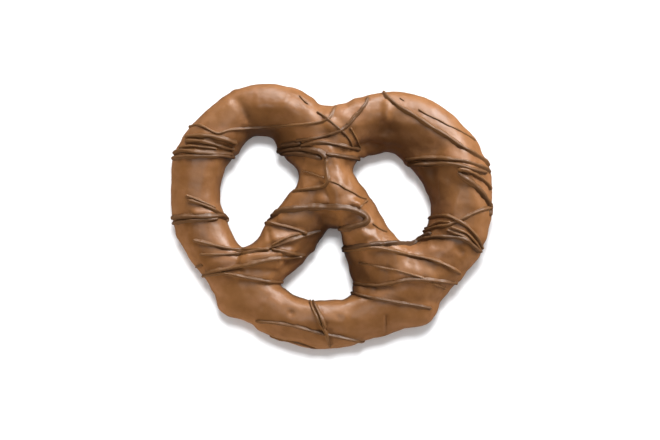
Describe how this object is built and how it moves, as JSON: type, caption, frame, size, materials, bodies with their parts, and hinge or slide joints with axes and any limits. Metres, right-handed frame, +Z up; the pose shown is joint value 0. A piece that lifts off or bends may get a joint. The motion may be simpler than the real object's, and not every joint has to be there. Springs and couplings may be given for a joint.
{
  "type": "chocolate-covered pretzel",
  "caption": "Hard pretzel in a smooth milk chocolate coating, crossed by thin raised threads of darker chocolate.",
  "frame": {"origin": "centre of the bounding box in plan, on the flat underside that the pretzel rests on", "axes": "+X across both loops, the longest extent; +Y from the bottom bow towards the notch between the lobes; +Z up, the shortest extent"},
  "size_m": [0.0804, 0.0664, 0.0168],
  "materials": {
    "milk_chocolate": "satin",
    "dark_drizzle": "satin"
  },
  "bodies": {
    "root": {"pretzel": "milk_chocolate"}
  },
  "joints": []
}
